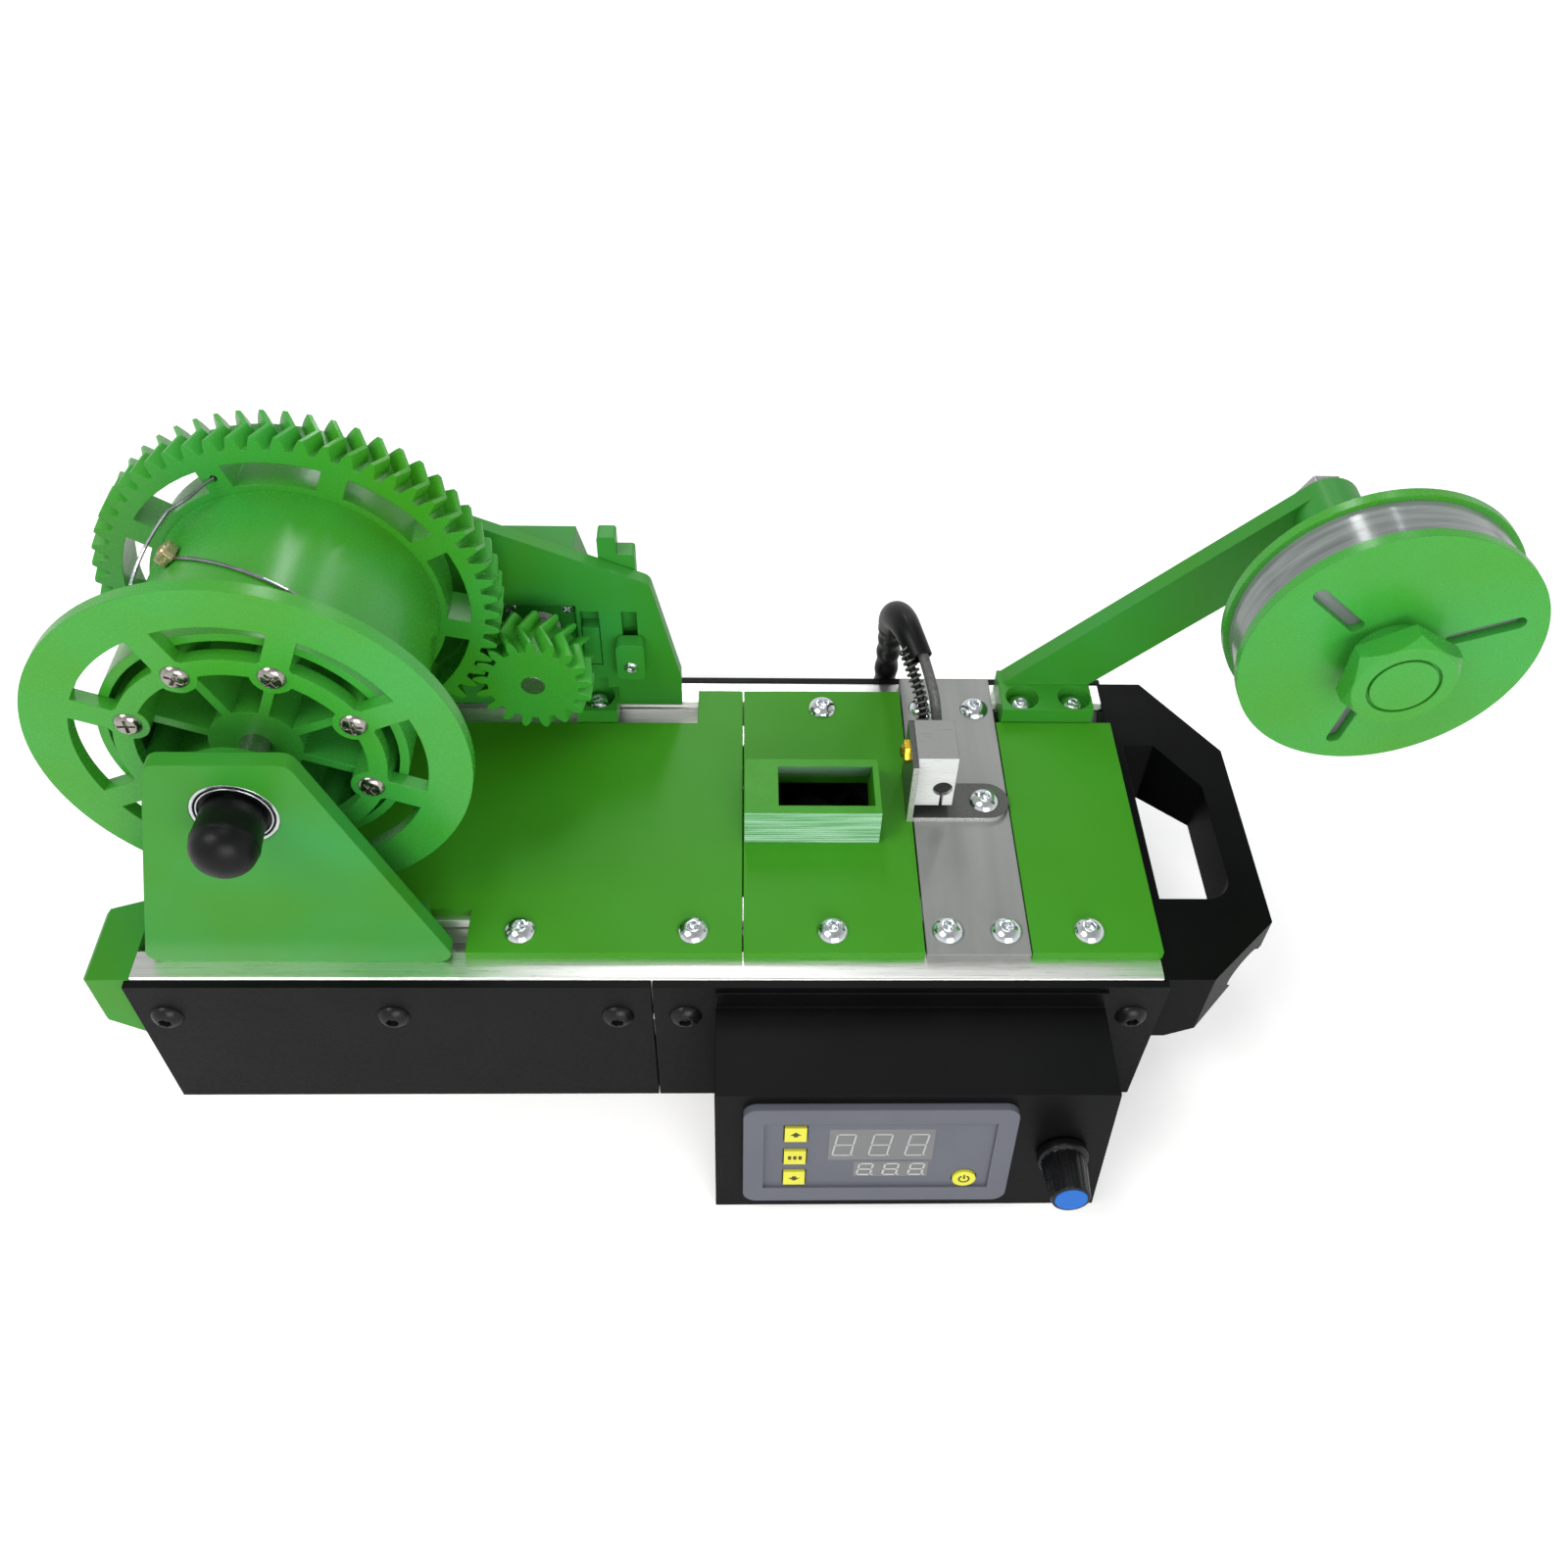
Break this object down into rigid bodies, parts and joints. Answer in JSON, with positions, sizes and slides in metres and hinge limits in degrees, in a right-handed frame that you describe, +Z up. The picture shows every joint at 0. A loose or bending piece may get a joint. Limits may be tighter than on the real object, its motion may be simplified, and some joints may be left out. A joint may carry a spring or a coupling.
{
  "type": "filament extruder",
  "caption": "Benchtop puller that draws a plastic strip off a reel through a hot nozzle, over a cooling duct and onto a geared drum.",
  "frame": {"origin": "centre of the underside of the base, midway along the rails and midway across the frame", "axes": "+X along the rails towards the handle and reel, +Y to the back, +Z up"},
  "size_m": [0.3989, 0.1906, 0.1804],
  "materials": {
    "green_plastic": "satin, smooth",
    "rail_aluminium": "clear anodised",
    "black_plastic": "fine matt",
    "zinc_steel": "bright zinc",
    "turned_steel": "turned",
    "black_steel": "blackened",
    "black_gloss": "moulded",
    "board": "coated board",
    "grey_plate": "matt grey",
    "dark_steel": "dull",
    "block_aluminium": "milled",
    "nozzle_brass": "machined",
    "lead_sleeve": "glass fibre sleeve",
    "black_rubber": "soft matt",
    "clip_brass": "dull",
    "motor_metal": "satin",
    "plastic_strip": "clear strip wound on itself",
    "controller_grey": "fine grain",
    "display": "tinted window",
    "button_yellow": "soft",
    "knob_black": "fluted",
    "knob_blue": "smooth"
  },
  "bodies": {
    "frame": {"front_rail": "rail_aluminium", "rear_rail": "rail_aluminium", "cross_rail": "rail_aluminium", "end_caps": "green_plastic", "handle": "black_plastic", "base_tray": "black_plastic", "power_socket": "black_gloss", "speed_board": "board", "front_skirt_left": "black_plastic", "front_skirt_right": "black_plastic", "rear_skirt": "black_plastic", "skirt_screws": "black_steel", "deck_left": "green_plastic", "deck_middle": "green_plastic", "deck_right": "green_plastic", "deck_screws": "zinc_steel", "cooling_duct": "green_plastic", "fan_frame": "black_gloss", "hotend_plate": "grey_plate", "hotend_bracket": "dark_steel", "heater_block": "block_aluminium", "nozzle": "nozzle_brass", "heater_cartridge": "dark_steel", "heater_lead": "lead_sleeve", "lead_boot": "black_rubber", "front_bracket": "green_plastic", "rear_bracket": "green_plastic", "bracket_screws": "zinc_steel", "drum_bearings": "turned_steel", "gear_motor": "motor_metal", "motor_cover": "green_plastic", "reel_arm": "green_plastic", "control_box": "black_plastic", "controller": "controller_grey", "display_lens": "display", "potentiometer": "motor_metal"},
    "drum": {"drum_axle": "turned_steel", "axle_caps": "black_rubber", "drum_barrel": "green_plastic", "drum_flange": "green_plastic", "flange_screws": "zinc_steel", "drum_gear": "green_plastic", "leader_wire": "dark_steel", "wire_clip": "clip_brass"},
    "pinion": {"pinion": "green_plastic", "motor_shaft": "turned_steel"},
    "reel": {"reel_axle": "turned_steel", "reel_rear_disc": "green_plastic", "strip_roll": "plastic_strip", "reel_front_disc": "green_plastic", "reel_nut": "green_plastic"},
    "fan": {"fan_rotor": "black_gloss"},
    "knob": {"control_knob": "knob_black", "knob_cap": "knob_blue"},
    "button_up": {"button_up": "button_yellow"},
    "button_set": {"button_set": "button_yellow"},
    "button_down": {"button_down": "button_yellow"},
    "button_power": {"button_power": "button_yellow"},
    "clamp": {"clamp_block": "green_plastic", "clamp_jaw": "green_plastic"}
  },
  "joints": [
    {"name": "drum_spin", "type": "hinge", "parent": "frame", "child": "drum", "pos_m": [-0.1011, 0, 0.1244], "axis": [0, 1, 0], "continuous": true},
    {"name": "pinion_spin", "type": "hinge", "parent": "frame", "child": "pinion", "pos_m": [-0.03846, 0, 0.09248], "axis": [0, 1, 0], "continuous": true},
    {"name": "reel_spin", "type": "hinge", "parent": "frame", "child": "reel", "pos_m": [0.1995, 0, 0.1382], "axis": [0, 1, 0], "continuous": true},
    {"name": "fan_spin", "type": "hinge", "parent": "frame", "child": "fan", "pos_m": [0.0463, 0, 0.055], "axis": [0, 0, 1], "continuous": true},
    {"name": "knob_turn", "type": "hinge", "parent": "frame", "child": "knob", "pos_m": [0.1169, -0.10337, 0.02696], "axis": [0, -0.9891, 0.1474], "range_deg": [-150, 150]},
    {"name": "button_up_press", "type": "slide", "parent": "frame", "child": "button_up", "axis": [0, 0.9891, -0.1474], "range_m": [0, 0.0005], "stiffness_N_per_m": 400, "springref_m": -0.0005},
    {"name": "button_set_press", "type": "slide", "parent": "frame", "child": "button_set", "axis": [0, 0.9891, -0.1474], "range_m": [0, 0.0005], "stiffness_N_per_m": 400, "springref_m": -0.0005},
    {"name": "button_down_press", "type": "slide", "parent": "frame", "child": "button_down", "axis": [0, 0.9891, -0.1474], "range_m": [0, 0.0005], "stiffness_N_per_m": 400, "springref_m": -0.0005},
    {"name": "button_power_press", "type": "slide", "parent": "frame", "child": "button_power", "axis": [0, 0.9891, -0.1474], "range_m": [0, 0.0005], "stiffness_N_per_m": 400, "springref_m": -0.0005},
    {"name": "clamp_slide", "type": "slide", "parent": "frame", "child": "clamp", "axis": [0, 0, 1], "range_m": [0, 0.0065]}
  ],
  "couplings": [
    {"joint": "pinion_spin", "follows": "drum_spin", "ratio": -3.3529}
  ]
}
